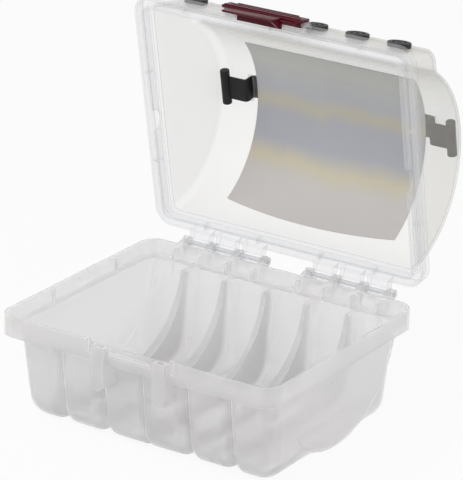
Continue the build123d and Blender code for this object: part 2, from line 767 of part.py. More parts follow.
def make_latch():
    """Over-centre plate with its hooking lip, ridged grip and stiffening gusset, shut."""
    half = LATCH_LENGTH / 2
    back = LATCH_Y - LATCH_FRONT_GAP
    front = back - LATCH_WALL
    lip_top = RIM_TOP - CATCH_DROP - LATCH_CATCH_GAP
    lip_bottom = lip_top - LATCH_WALL
    top = LATCH_Z + LATCH_BARREL_RADIUS
    toe = RIM_FRONT_Y - LATCH_TOE_GAP
    plate = outline([
        (front, lip_bottom + 1.2),
        (front + 1.2, lip_bottom),
        (back, lip_bottom),
        (back, LATCH_Z - 1),
        (LATCH_Y, LATCH_Z - LATCH_BARREL_RADIUS),
        (LATCH_Y, top),
        (front, LATCH_Z + 1),
    ])
    section = plate + Pos(LATCH_Y, LATCH_Z) * Circle(LATCH_BARREL_RADIUS)
    latch = along_x(section, -half, half)
    lip = outline([
        (back - 1, lip_bottom),
        (toe, lip_bottom + 0.6),
        (toe, lip_top),
        (back - 1, lip_top),
    ])
    latch += along_x(lip, -LIP_LENGTH / 2, LIP_LENGTH / 2)
    grip_bottom = lip_bottom + 3.0
    grip_front = front - GRIP_THICKNESS
    grip = block(-GRIP_LENGTH / 2, GRIP_LENGTH / 2, grip_front, front + 0.4,
                 grip_bottom, grip_bottom + GRIP_HEIGHT)
    grip = fillet(grip.edges().filter_by(Axis.Y), GRIP_ROUND)
    latch += grip
    pitch = GRIP_HEIGHT / GRIP_RIDGES
    for index in range(GRIP_RIDGES):
        reach = GRIP_LENGTH / 2 - GRIP_ROUND - index * GRIP_RIDGE_STEP
        low = grip_bottom + (index + 0.5) * pitch - GRIP_RIDGE_HEIGHT / 2
        ridge = block(-reach, reach, grip_front - GRIP_RIDGE_DEPTH, grip_front + 0.2,
                      low, low + GRIP_RIDGE_HEIGHT)
        latch += ridge
    gusset = outline([
        (back - 0.5, lip_top - 0.5),
        (toe - 3.5, lip_top - 0.5),
        (back - 0.5, lip_top + 7.0),
    ])
    gusset_solid = along_x(gusset, -GUSSET_THICKNESS / 2, GUSSET_THICKNESS / 2)
    latch += Pos(GUSSET_X, 0, 0) * gusset_solid
    bore = LATCH_PIN_DIAMETER / 2 + LATCH_PIN_FIT
    latch -= rod_x(LATCH_Y, LATCH_Z, bore, -FAR / 2, FAR / 2)
    return latch.rotate(LATCH_AXIS, -LATCH_SWING_OUT)


def opened(shape):
    """A piece of the lid, turned from shut to open."""
    return shape.rotate(HINGE_AXIS, -LID_OPEN_ANGLE)


def middle_y():
    """Y of the middle of the opened box, from the guards' fronts to the strap's back."""
    front = RIM_FRONT_Y - GUARD_PROUD
    ahead = STRAP_Y + STRAP_WIDTH / 2 - HINGE_Y
    above = DOME_CENTRE_Z + DOME_RADIUS + STRAP_LIFT + STRAP_THICKNESS - HINGE_Z
    back = HINGE_Y + ahead * cos(LID_OPEN_ANGLE) + above * sin(LID_OPEN_ANGLE)
    return (front + back) / 2


def write(node, shape):
    export_step(Pos(0, -middle_y(), 0) * shape, f"parts/{node}.step")


def main():
    os.makedirs("parts", exist_ok=True)
    write("base_tub", make_base_tub())
    pin = make_hinge_pin()
    write("hinge_pin_right", pin)
    write("hinge_pin_left", mirror_x(pin))
    write("lid_shell", opened(make_lid_shell()))
    for number, x in enumerate(port_places(), start=1):
        write(f"line_port_{number}", opened(make_line_port(x)))
    write("carry_strap", opened(make_carry_strap()))
    write("label_sheet", opened(make_label_sheet()))
    write("latch_pin", opened(make_latch_pin()))
    write("latch", opened(make_latch()))


main()
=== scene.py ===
import json
import math

import bmesh
import bpy
from bpy.props import FloatProperty, FloatVectorProperty, IntProperty, PointerProperty
from bpy.types import Operator, Panel, PropertyGroup
from mathutils import Matrix, Vector


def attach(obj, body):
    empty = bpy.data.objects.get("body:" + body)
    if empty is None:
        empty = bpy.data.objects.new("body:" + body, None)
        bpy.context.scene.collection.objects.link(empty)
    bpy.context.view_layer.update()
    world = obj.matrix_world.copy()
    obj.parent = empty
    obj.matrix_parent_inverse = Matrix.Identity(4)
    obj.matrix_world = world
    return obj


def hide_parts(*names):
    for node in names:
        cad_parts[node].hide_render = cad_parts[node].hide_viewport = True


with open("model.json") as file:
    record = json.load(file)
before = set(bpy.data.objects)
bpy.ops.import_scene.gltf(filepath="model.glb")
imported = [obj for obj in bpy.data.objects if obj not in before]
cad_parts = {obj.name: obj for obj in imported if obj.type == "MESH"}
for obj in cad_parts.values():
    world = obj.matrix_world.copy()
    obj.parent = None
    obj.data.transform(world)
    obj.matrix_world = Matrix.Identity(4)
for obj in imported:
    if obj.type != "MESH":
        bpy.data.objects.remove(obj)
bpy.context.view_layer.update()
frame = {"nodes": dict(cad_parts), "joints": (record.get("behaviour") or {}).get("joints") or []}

bl_info = {
    "name": "Line Spool Box",
    "version": (1, 0, 0),
    "blender": (4, 5, 0),
    "location": "3D View > Sidebar > Spool Box",
    "description": "Finishes an opened line spool box and sets it on a pale floor",
    "category": "Object",
}

MM = 0.001
QUARTER_TURN = math.pi / 2
UP = Vector((0, 0, 1))
WELD = 0.005 * MM                 # points nearer to each other than this become one
NEAR = 0.01 * MM                  # points nearer to a line than this count as on it
SHARP_ANGLE = math.radians(35)    # edges sharper than this aren't shaded smooth


# The frame's joints, which give every place and turn of the moving pieces

def joint(name):
    """What the frame says of a joint."""
    return next(found for found in frame["joints"] if found["name"] == name)


LID_PIVOT = Vector(joint("lid_hinge")["pos_m"])
LATCH_PIVOT = Vector(joint("latch_hinge")["pos_m"])
LID_TURN = math.radians(joint("lid_hinge")["range_deg"][1])
LATCH_TURN = LID_TURN + math.radians(joint("latch_hinge")["range_deg"][1])
ON_LID = Matrix.Translation(LID_PIVOT) @ Matrix.Rotation(-LID_TURN, 4, "X")
ON_LATCH = Matrix.Translation(LATCH_PIVOT) @ Matrix.Rotation(-LATCH_TURN, 4, "X")


# Properties

def length(name, description, millimetres):
    """A size, which is never below 0."""
    return FloatProperty(name=name, description=description, default=millimetres * MM,
                         min=0.0, precision=5, unit="LENGTH")


def place(name, description, millimetres):
    """A place along an axis, on either side of its start."""
    return FloatProperty(name=name, description=description, default=millimetres * MM,
                         precision=5, unit="LENGTH")


def angle(name, description, degrees):
    """A turn, given in degrees and kept in radians."""
    return FloatProperty(name=name, description=description, default=math.radians(degrees),
                         unit="ROTATION")


def share(name, description, value):
    """A share of the whole, from 0 to 1."""
    return FloatProperty(name=name, description=description, default=value,
                         min=0.0, max=1.0, subtype="FACTOR")


def colour(name, description, rgb):
    """A colour in linear values."""
    return FloatVectorProperty(name=name, description=description, default=rgb,
                               size=3, min=0.0, max=1.0, subtype="COLOR")


class ClearPlastic(PropertyGroup):
    """Finish of the two clear mouldings."""
    base_body: colour("Base Body", "Milky body colour of the base", (0.84, 0.84, 0.85))
    base_tint: colour("Base Tint", "Faint warm cast of the base", (0.84, 0.81, 0.81))
    base_face: share("Base Face", "Cover of a base wall seen straight on", 0.36)
    base_edge: share("Base Edge", "Cover of a base wall seen along its face", 0.95)
    # painted shade: a darker colour laid along the base's edges and into its corners
    base_edge_shade: colour("Base Line", "Colour of the base's edges", (0.50, 0.51, 0.55))
    lid_body: colour("Lid Body", "Body colour of the clear lid", (0.64, 0.63, 0.59))
    lid_tint: colour("Lid Tint", "Warm cast of the lid", (0.62, 0.58, 0.48))
    # painted shade: a darker colour laid along the lid's edges and into its corners
    lid_edge_shade: colour("Lid Line", "Colour of the lid's edges", (0.42, 0.42, 0.43))
    lid_face: share("Lid Face", "Cover of a lid wall seen straight on", 0.08)
    lid_edge: share("Lid Edge", "Cover of a lid wall seen along its face", 0.80)
    rim_body: colour("Rim Body", "Milky colour of the lid's thick rim", (0.84, 0.85, 0.89))
    rim_cover: share("Rim Cover", "Least cover of the lid's thick rim", 0.18)
    rim_height: length("Rim Height", "Height of the lid's thick rim", 13.5)


class PinFinish(PropertyGroup):
    """Finish of the plastic pins."""
    body: colour("Body", "Body colour of the pins", (0.70, 0.71, 0.72))


class PortSizes(PropertyGroup):
    """Sizes and finish of the rubber line ports."""
    count: IntProperty(name="Count", description="Ports along the box", default=6, min=1)
    wall_tilt: angle("Wall Tilt", "Lean of the wall that holds the ports", 19)
    outer_radius: length("Outer Radius", "Radius of the outer flange", 10.75)
    proud: length("Proud", "Height of the outer flange over the wall", 4.5)
    neck_radius: length("Neck Radius", "Radius of the neck in the wall", 7.0)
    inner_radius: length("Inner Radius", "Radius of the inner flange", 8.75)
    inner_thickness: length("Inner Thickness", "Thickness of the inner flange", 2.0)
    wall: length("Wall", "Thickness of the wall between the flanges", 1.9)
    bore_radius: length("Bore Radius", "Radius of the line's hole", 1.6)
    groove_radius: length("Groove Radius", "Radius of the ring groove", 5.7)
    groove_size: length("Groove Size", "Half width and depth of the ring groove", 1.2)
    edge_round: length("Edge Round", "Rounding of the outer flange", 0.6)
    rubber: colour("Rubber", "Colour of the ports", (0.014, 0.014, 0.015))


class LabelSizes(PropertyGroup):
    """Sizes and finish of the sheet inside the dome."""
    centre_y: place("Centre Y", "Dome's axis behind the hinge, lid shut", -118.6)
    centre_z: place("Centre Z", "Dome's axis above the hinge, lid shut", 13.1)
    radius: length("Radius", "Outer radius of the sheet", 94.35)
    thickness: length("Thickness", "Thickness of the sheet", 0.6)
    half_length: length("Half Length", "Half of the sheet's length", 91.0)
    start: angle("Start", "Where the sheet starts above the hinge side", 18)
    end: angle("End", "Where the sheet ends at the front", 122)
    bow: length("Bow", "How far the middle of the lower edge hangs down", 9.0)


class StrapSizes(PropertyGroup):
    """Sizes and finish of the carry strap."""
    centre_y: place("Centre Y", "Middle of the strap from the hinge, lid shut", -112.6)
    width: length("Width", "Width of the strap", 23.0)
    thickness: length("Thickness", "Thickness of the strap", 2.2)
    top: place("Top", "Middle of the strap above the hinge, lid shut", 111.05)
    slot_x: length("Slot", "Where the strap dips through the dome", 99.0)
    bend: length("Bend", "Radius of the strap's bends", 3.0)
    bar_x: length("Bar Place", "Where the cross bars lie", 122.0)
    bar_z: place("Bar Height", "Middle of the cross bars, lid shut", 99.7)
    bar_radius: length("Bar Radius", "Radius of a cross bar", 4.5)
    bar_length: length("Bar Length", "Length of a cross bar", 35.0)
    black: colour("Black", "Colour of the strap", (0.011, 0.011, 0.012))


class LatchSizes(PropertyGroup):
    """Sizes and finish of the latch, from its pivot, shut."""
    half_length: length("Half Length", "Half of the plate's length", 34.5)
    plate_front: place("Plate Front", "Outer face of the plate", -4.5)
    plate_back: place("Plate Back", "Inner face of the plate", -2.2)
    plate_foot: place("Plate Foot", "Lower edge of the plate", -17.5)
    barrel_radius: length("Barrel Radius", "Radius round the pivot", 3.6)
    lip_half: length("Lip Half Length", "Half of the hooking lip's length", 23.0)
    lip_toe: place("Lip Toe", "Inner edge of the hooking lip", 3.7)
    grip_half: length("Grip Half Length", "Half of the grip's length", 41.7)
    grip_height: length("Grip Height", "Height of the grip", 14.0)
    grip_front: place("Grip Front", "Outer face of the grip", -6.7)
    ridge_depth: length("Ridge Depth", "How far a ridge stands out", 1.1)
    ridge_height: length("Ridge Height", "Height of a ridge", 2.6)
    ridge_step: length("Ridge Step", "How much each ridge is shorter", 4.0)
    ridges: IntProperty(name="Ridges", description="Ridges on the grip", default=3, min=1)
    tab_left: place("Tab Left", "Left end of the thumb tab", -31.0)
    tab_right: place("Tab Right", "Right end of the thumb tab", 21.4)
    tab_front: place("Tab Front", "Outer face of the thumb tab", -6.3)
    tab_foot: place("Tab Foot", "Free edge of the thumb tab", -30.5)
    gusset_x: place("Gusset Place", "Where the stiffening gusset stands", 15.7)
    maroon: colour("Maroon", "Colour of the latch", (0.072, 0.005, 0.011))


class StageSettings(PropertyGroup):
    """Floor, light and camera."""
    aim: FloatVectorProperty(name="Aim", description="Point that the camera looks at",
                             default=(0.0226, -0.04802, 0.1726), subtype="TRANSLATION")
    azimuth: angle("Azimuth", "Turn of the camera round the box", 33.217)
    elevation: angle("Elevation", "Height of the camera over the horizon", 21.091)
    roll: angle("Roll", "Turn of the camera about its line of sight", 1.231)
    distance: length("Distance", "From the camera to its aim", 2852.6)
    lens: FloatProperty(name="Lens", description="Focal length", default=245.1, min=1.0,
                        unit="CAMERA")
    floor: colour("Floor", "Colour of the floor", (0.84, 0.84, 0.84))
    sky: share("Sky", "Light that comes from all round", 0.62)
    key: FloatProperty(name="Key", description="Power of the main lamp", default=16.0,
                       min=0.0, unit="POWER")
    fill: FloatProperty(name="Fill", description="Power of the second lamp", default=7.0,
                        min=0.0, unit="POWER")


class SpoolBox(PropertyGroup):
    """All settings of the box."""
    plastic: PointerProperty(type=ClearPlastic)
    pins: PointerProperty(type=PinFinish)
    ports: PointerProperty(type=PortSizes)
    label: PointerProperty(type=LabelSizes)
    strap: PointerProperty(type=StrapSizes)
    latch: PointerProperty(type=LatchSizes)
    stage: PointerProperty(type=StageSettings)


# Materials

WHITE = (1, 1, 1, 1)
PLASTIC_IOR = 1.49
EDGE_COVER = 0.85             # cover of clear plastic along the moulding's edges
EDGE_REACH = 0.8 * MM         # how far the painted edge shade reaches from an edge
EDGE_GAIN = 3.4               # how fast that painted shade fills as the surface bends
RIM_GAIN = 700.0              # how fast the rim's look fills below its height, per metre
STREAK = (1.35, 1.5, 1.45)    # how much lighter a flow streak is in red, green and blue


class Varying:
    """A number that varies over a surface, so that sums on it read as sums."""

    def __init__(self, nodes, socket):
        self.nodes = nodes
        self.socket = socket

    def maths(self, operation, first, second):
        """What a Math node makes of two numbers."""
        node = self.nodes.node("ShaderNodeMath", {"operation": operation},
                               {0: first, 1: second})
        return Varying(self.nodes, node.outputs[0])

    def __add__(self, other):
        return self.maths("ADD", self, other)

    def __sub__(self, other):
        return self.maths("SUBTRACT", self, other)

    def __rsub__(self, other):
        return self.maths("SUBTRACT", other, self)

    def __mul__(self, other):
        return self.maths("MULTIPLY", self, other)

    def __pow__(self, other):
        return self.maths("POWER", self, other)

    __radd__ = __add__
    __rmul__ = __mul__

    def at_most(self, limit):
        return self.maths("MINIMUM", self, limit)

    def at_least(self, limit):
        return self.maths("MAXIMUM", self, limit)


class Nodes:
    """The nodes of a material or of the world."""

    def __init__(self, owner):
        owner.use_nodes = True
        self.tree = owner.node_tree
        self.tree.nodes.clear()

    def node(self, kind, settings, sockets):
        """Add a node, with its settings first and then its sockets' values or links."""
        node = self.tree.nodes.new(kind)
        for name, value in settings.items():
            if name == "stops":
                self.set_stops(node, value)
            else:
                setattr(node, name, value)
        for name, value in sockets.items():
            if isinstance(value, Varying):
                value = value.socket
            if isinstance(value, bpy.types.NodeSocket):
                self.tree.links.new(value, node.inputs[name])
            else:
                node.inputs[name].default_value = value
        return node

    def set_stops(self, node, stops):
        """Give a colour ramp its stops, each a place and a colour."""
        elements = node.color_ramp.elements
        while len(elements) < len(stops):
            elements.new(1.0)
        for element, (position, rgb) in zip(elements, stops):
            element.position = position
            element.color = (*rgb, 1.0)


class Paint(Nodes):
    """A material and the nodes that make it."""

    def __init__(self, name):
        self.material = bpy.data.materials.new(name)
        super().__init__(self.material)

    def place(self):
        """The point on the surface, in the frame's metres."""
        return self.node("ShaderNodeTexCoord", {}, {}).outputs["Object"]

    def noise(self, vector, scale, detail=3.0, roughness=0.5):
        """Cloudy noise that varies about 0.5."""
        node = self.node("ShaderNodeTexNoise", {},
                         {"Vector": vector, "Scale": scale, "Detail": detail,
                          "Roughness": roughness})
        return Varying(self, node.outputs["Fac"])

    def stretched(self, vector, scale):
        """The same place measured with another step along each axis."""
        node = self.node("ShaderNodeMapping", {}, {"Vector": vector, "Scale": scale})
        return node.outputs["Vector"]

    def mixed(self, factor, first, second):
        """A colour between two others."""
        node = self.node("ShaderNodeMix", {"data_type": "RGBA"},
                         {0: factor, 6: rgba(first), 7: rgba(second)})
        return node.outputs[2]

    def grazing(self):
        """0 where the surface faces the eye, 1 where it is seen along its face."""
        node = self.node("ShaderNodeLayerWeight", {}, {"Blend": 0.5})
        return Varying(self, node.outputs["Facing"])

    def corners(self, radius):
        """0 on open faces, rising to 1 along the moulding's edges and in its corners."""
        soft = self.node("ShaderNodeBevel", {"samples": 4}, {"Radius": radius})
        flat = self.node("ShaderNodeNewGeometry", {}, {})
        turn = self.node("ShaderNodeVectorMath", {"operation": "DOT_PRODUCT"},
                         {0: soft.outputs["Normal"], 1: flat.outputs["Normal"]})
        bend = 1.0 - Varying(self, turn.outputs["Value"])
        return (EDGE_GAIN * bend).at_most(1.0)

    def rim_of_lid(self, height):
        """1 in the lid's thick rim, which ends at a height over the hinge, and 0 above."""
        up = ON_LID.to_3x3() @ UP
        along = self.node("ShaderNodeVectorMath", {"operation": "DOT_PRODUCT"},
                          {0: self.place(), 1: up})
        below = height + LID_PIVOT.dot(up) - Varying(self, along.outputs["Value"])
        return (RIM_GAIN * below).at_most(1.0).at_least(0.0)

    def bump(self, height, strength, distance):
        """A normal that lets a height show as relief."""
        node = self.node("ShaderNodeBump", {},
                         {"Height": height, "Strength": strength, "Distance": distance})
        return node.outputs["Normal"]

    def finish(self, sockets):
        """The closing shader with its sockets, and the material itself."""
        shader = self.node("ShaderNodeBsdfPrincipled", {}, sockets)
        self.node("ShaderNodeOutputMaterial", {}, {"Surface": shader.outputs["BSDF"]})
        return self.material


def rgba(value):
    """A colour's numbers with their alpha, or a socket as it is."""
    if isinstance(value, (bpy.types.NodeSocket, Varying)):
        return value
    return (*value, 1.0)


def between(low, high, progress):
    """What goes from low to high as its progress goes from 0 to 1."""
    return low + (high - low) * progress


def lighter(rgb, step):
    """A colour with the same step added to red, green and blue."""
    return tuple(part + step for part in rgb)


def dimmed(rgb, gain):
    """A colour with red, green and blue at the same share of what they were."""
    return tuple(gain * part for part in rgb)


def clear_plastic(name, body, tint, line, face, edge, glow, rim=None):
    """Moulded clear plastic: it covers more along its edges and where it is seen aslant, and its
    edges and corners are darkened with painted shade.
    """
    paint = Paint(name)
    here = paint.place()
    cloud = paint.noise(here, scale=9.0, detail=2.0)
    ripple = paint.noise(here, scale=55.0)
    grain = paint.noise(here, scale=900.0, detail=2.0)
    # mask for the painted edge and corner shade, and for the extra cover along the edges
    corners = paint.corners(EDGE_REACH)
    tone = paint.mixed((cloud - 0.4) * 4.0, body, tint)
    cover = between(face, edge, paint.grazing() ** 3.0)
    if rim:
        rim_body, rim_cover, rim_height = rim
        thick = paint.rim_of_lid(rim_height)
        tone = paint.mixed(thick, tone, rim_body)
        cover = cover.at_least(rim_cover * thick)
    return paint.finish({
        # painted shade: along edges and in corners the colour goes over to line, a darker colour
        "Base Color": paint.mixed(corners, tone, line),
        "Roughness": between(0.24, 0.36, ripple),
        "Alpha": between(cover, EDGE_COVER, corners),
        "IOR": PLASTIC_IOR,
        "Subsurface Weight": glow,
        "Subsurface Radius": (1.0, 1.0, 1.0),
        "Subsurface Scale": 0.02,
        "Normal": paint.bump(ripple + 0.06 * grain, strength=0.25, distance=0.6 * MM),
    })


def drawn_rod(body):
    """Clear plastic rod with fine lines along its length."""
    paint = Paint("drawn_rod")
    drawn = paint.stretched(paint.place(), (20.0, 900.0, 900.0))
    lines = paint.noise(drawn, scale=1.0, detail=4.0)
    return paint.finish({
        "Base Color": paint.mixed(lines, dimmed(body, 0.8), body),
        "Roughness": between(0.2, 0.4, lines),
        "Alpha": between(0.3, 0.8, paint.grazing() ** 2.0),
        "IOR": PLASTIC_IOR,
        "Normal": paint.bump(lines, strength=0.3, distance=0.1 * MM),
    })


def satin_rubber(black):
    """Satin black rubber with a faint bloom and a fine skin."""
    paint = Paint("port_rubber")
    here = paint.place()
    bloom = paint.noise(here, scale=160.0, detail=4.0)
    skin = paint.noise(here, scale=2600.0, detail=2.0)
    return paint.finish({
        "Base Color": paint.mixed(bloom ** 3.0, black, lighter(black, 0.02)),
        "Roughness": between(0.42, 0.62, bloom),
        "Specular IOR Level": 0.3,
        "Normal": paint.bump(skin + bloom, strength=0.35, distance=0.12 * MM),
    })


def pebbled_black(black):
    """Black flexible plastic with a moulded pebble grain."""
    paint = Paint("pebbled_black")
    here = paint.place()
    cells = paint.node("ShaderNodeTexVoronoi", {"feature": "SMOOTH_F1"},
                       {"Vector": here, "Scale": 900.0, "Smoothness": 0.6})
    pebble = 1.0 - Varying(paint, cells.outputs["Distance"])
    wear = paint.noise(here, scale=70.0, detail=4.0)
    return paint.finish({
        "Base Color": paint.mixed(wear ** 3.0, black, lighter(black, 0.015)),
        "Roughness": between(0.45, 0.63, wear),
        "Specular IOR Level": 0.3,
        "Normal": paint.bump(pebble, strength=0.5, distance=0.25 * MM),
    })


def gloss_maroon(maroon):
    """Glossy moulded plastic, a little lighter where the flow left streaks."""
    paint = Paint("gloss_maroon")
    here = paint.place()
    flow = paint.noise(paint.stretched(here, (12.0, 120.0, 120.0)), scale=1.0)
    peel = paint.noise(here, scale=420.0, detail=2.0)
    streak = tuple(part * gain for part, gain in zip(maroon, STREAK))
    return paint.finish({
        "Base Color": paint.mixed(flow, maroon, streak),
        "Roughness": between(0.22, 0.36, flow),
        "Specular IOR Level": 0.06,
        "Coat Weight": 0.15,
        "Coat Roughness": 0.08,
        "Normal": paint.bump(peel, strength=0.12, distance=0.2 * MM),
    })


def banded_sheet(name, bands, roughness):
    """Printed sheet in soft bands that run along the box."""
    paint = Paint(name)
    surface = paint.node("ShaderNodeUVMap", {"uv_map": "sheet"}, {}).outputs["UV"]
    parts = paint.node("ShaderNodeSeparateXYZ", {}, {"Vector": surface})
    across = Varying(paint, parts.outputs["Y"])
    wave = paint.noise(paint.stretched(surface, (3.0, 1.2, 1.0)),
                       scale=1.0, detail=4.0, roughness=0.6)
    ramp = paint.node("ShaderNodeValToRGB", {"stops": bands},
                      {"Fac": across + 0.16 * (wave - 0.5)})
    grain = paint.noise(paint.place(), scale=1800.0, detail=2.0)
    return paint.finish({
        "Base Color": ramp.outputs["Color"],
        "Roughness": roughness + 0.12 * grain,
        "Normal": paint.bump(grain, strength=0.1, distance=0.1 * MM),
    })


# Mesh work

def points_in(result):
    """The points among what an extrusion gives back."""
    return [part for part in result["geom"] if isinstance(part, bmesh.types.BMVert)]


def edges_of(verts):
    """Every edge that ends in one of these points."""
    return list({edge for vert in verts for edge in vert.link_edges})


def rounded(shape, edges, radius, segments=3):
    """Round some edges of a shape."""
    bmesh.ops.bevel(shape, geom=edges, offset=radius, offset_type="OFFSET",
                    segments=segments, profile=0.5, affect="EDGES", material=-1)


def drawn_out(shape, face, way):
    """Push a face along to make a solid, and give the points of its far end."""
    ends = points_in(bmesh.ops.extrude_face_region(shape, geom=[face]))
    bmesh.ops.translate(shape, vec=way, verts=ends)
    return ends


def along_x(shape, outline, low, high):
    """A solid with a (Y, Z) outline, from one X to another."""
    face = shape.faces.new([shape.verts.new((low, y, z)) for y, z in outline])
    drawn_out(shape, face, (high - low, 0, 0))


def block(shape, low, high, radius):
    """An upright block between two corners, with softened edges."""
    size = Vector(high) - Vector(low)
    middle = (Vector(high) + Vector(low)) / 2
    matrix = Matrix.Translation(middle) @ Matrix.Diagonal((*size, 1.0))
    verts = bmesh.ops.create_cube(shape, size=1.0, matrix=matrix)["verts"]
    rounded(shape, edges_of(verts), radius)


def rod(shape, radius, half, seat, edge):
    """A round bar with softened ends, made upright about its middle, then seated."""
    start = bmesh.ops.create_circle(shape, cap_ends=True, radius=radius, segments=40,
                                    matrix=Matrix.Translation((0, 0, -half)))["verts"]
    ends = drawn_out(shape, start[0].link_faces[0], (0, 0, 2 * half))
    bmesh.ops.transform(shape, matrix=seat, verts=start + ends)
    rims = [rim for verts in (start, ends) for rim in edges_of(verts)
            if all(vert in verts for vert in rim.verts)]
    rounded(shape, rims, edge)


def added(name, data):
    """A new object in the scene."""
    thing = bpy.data.objects.new(name, data)
    bpy.context.scene.collection.objects.link(thing)
    return thing


def meshed(name, shape):
    """A new object with the shape as its mesh."""
    mesh = bpy.data.meshes.new(name)
    shape.to_mesh(mesh)
    shape.free()
    return added(name, mesh)


def finished(name, shape, paints, body, replaced, seat):
    """Close a piece's mesh, seat it and give it its finish."""
    bmesh.ops.remove_doubles(shape, verts=shape.verts, dist=WELD)
    bmesh.ops.recalc_face_normals(shape, faces=shape.faces)
    bmesh.ops.transform(shape, matrix=seat, verts=shape.verts)
    for face in shape.faces:
        face.smooth = True
    for edge in shape.edges:
        edge.smooth = edge.calc_face_angle(math.pi) < SHARP_ANGLE
    piece = meshed(name, shape)
    for paint in paints:
        piece.data.materials.append(paint)
    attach(piece, body)
    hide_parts(replaced)


def dress(node, paint):
    """Give a kept node its finish."""
    materials = frame["nodes"][node].data.materials
    materials.clear()
    materials.append(paint)


# Operators

class SPOOLBOX_OT_base(Operator):
    """Finish the milky base tub"""
    bl_idname = "spool_box.base"
    bl_label = "Base Tub"

    def execute(self, context):
        look = context.scene.spool_box.plastic
        dress("base_tub", clear_plastic("milky_clear", look.base_body, look.base_tint,
                                        look.base_edge_shade, look.base_face, look.base_edge, 1.0))
        return {"FINISHED"}


class SPOOLBOX_OT_lid(Operator):
    """Finish the clear lid"""
    bl_idname = "spool_box.lid"
    bl_label = "Lid Shell"

    def execute(self, context):
        look = context.scene.spool_box.plastic
        rim = (look.rim_body, look.rim_cover, look.rim_height)
        dress("lid_shell", clear_plastic("clear_lid", look.lid_body, look.lid_tint,
                                         look.lid_edge_shade, look.lid_face, look.lid_edge, 0.0, rim))
        return {"FINISHED"}


class SPOOLBOX_OT_pins(Operator):
    """Finish the plastic pins of the hinge and the latch"""
    bl_idname = "spool_box.pins"
    bl_label = "Pins"

    def execute(self, context):
        paint = drawn_rod(tuple(context.scene.spool_box.pins.body))
        for node in ("hinge_pin_left", "hinge_pin_right", "latch_pin"):
            dress(node, paint)
        return {"FINISHED"}


class SPOOLBOX_OT_ports(Operator):
    """Make the rubber ports that the line leaves through"""
    bl_idname = "spool_box.ports"
    bl_label = "Line Ports"

    TURN_STEPS = 56
    FACE_DEPTH = 0.05 * MM     # points this near the top of a port lie on its outer face
    UNDER_ROUND = 0.4 * MM     # rounding under the outer flange
    INNER_ROUND = 0.6 * MM     # rounding of the inner flange
    MOUTH_ROUND = 1.1 * MM     # rounding of the line's hole

    def execute(self, context):
        ports = context.scene.spool_box.ports
        paint = satin_rubber(tuple(ports.rubber))
        tilt = Matrix.Rotation(QUARTER_TURN - ports.wall_tilt, 4, "X")
        facing = Matrix.Rotation(-LID_TURN, 4, "X") @ tilt
        outward = facing.to_3x3() @ UP
        for number in range(1, ports.count + 1):
            node = f"line_port_{number}"
            foot = self.top_centre(node, outward) - outward * ports.proud
            finished(f"rubber_port_{number}", self.bushing(ports), [paint], "lid",
                     node, Matrix.Translation(foot) @ facing)
        return {"FINISHED"}

    def top_centre(self, node, outward):
        """Middle of the outer face of the CAD port."""
        points = [vert.co for vert in frame["nodes"][node].data.vertices]
        top = max(point.dot(outward) for point in points)
        face = [point for point in points if point.dot(outward) > top - self.FACE_DEPTH]
        low = Vector(min(point[axis] for point in face) for axis in range(3))
        high = Vector(max(point[axis] for point in face) for axis in range(3))
        return (low + high) / 2

    def bushing(self, ports):
        """Half section of a port, spun about its bore."""
        inner = -ports.wall - ports.inner_thickness
        top = ports.proud
        ring, size = ports.groove_radius, ports.groove_size
        section = [
            (ports.bore_radius, inner),
            (ports.inner_radius, inner),
            (ports.inner_radius, -ports.wall),
            (ports.neck_radius, -ports.wall),
            (ports.neck_radius, 0),
            (ports.outer_radius, 0),
            (ports.outer_radius, top),
            (ring + size, top),
            (ring + size / 2, top - size),
            (ring - size / 2, top - size),
            (ring - size, top),
            (ports.bore_radius, top),
        ]
        shape = bmesh.new()
        verts = [shape.verts.new((radius, 0, height)) for radius, height in section]
        edges = [shape.edges.new((verts[i - 1], vert)) for i, vert in enumerate(verts)]
        bmesh.ops.spin(shape, geom=verts + edges, cent=(0, 0, 0), axis=UP, dvec=(0, 0, 0),
                       angle=4 * QUARTER_TURN, steps=self.TURN_STEPS, use_merge=True,
                       use_duplicate=False)
        bmesh.ops.recalc_face_normals(shape, faces=shape.faces)
        for radius, height, rounding in (
            (ports.outer_radius, top, ports.edge_round),
            (ports.outer_radius, 0, self.UNDER_ROUND),
            (ports.inner_radius, inner, self.INNER_ROUND),
            (ports.bore_radius, top, self.MOUTH_ROUND),
        ):
            rounded(shape, self.ring_at(shape, radius, height), rounding, segments=4)
        return shape

    def ring_at(self, shape, radius, height):
        """The edges round the bore at one radius and height."""
        return [edge for edge in shape.edges if all(
            abs(vert.co.z - height) < NEAR and abs(vert.co.xy.length - radius) < NEAR
            for vert in edge.verts)]


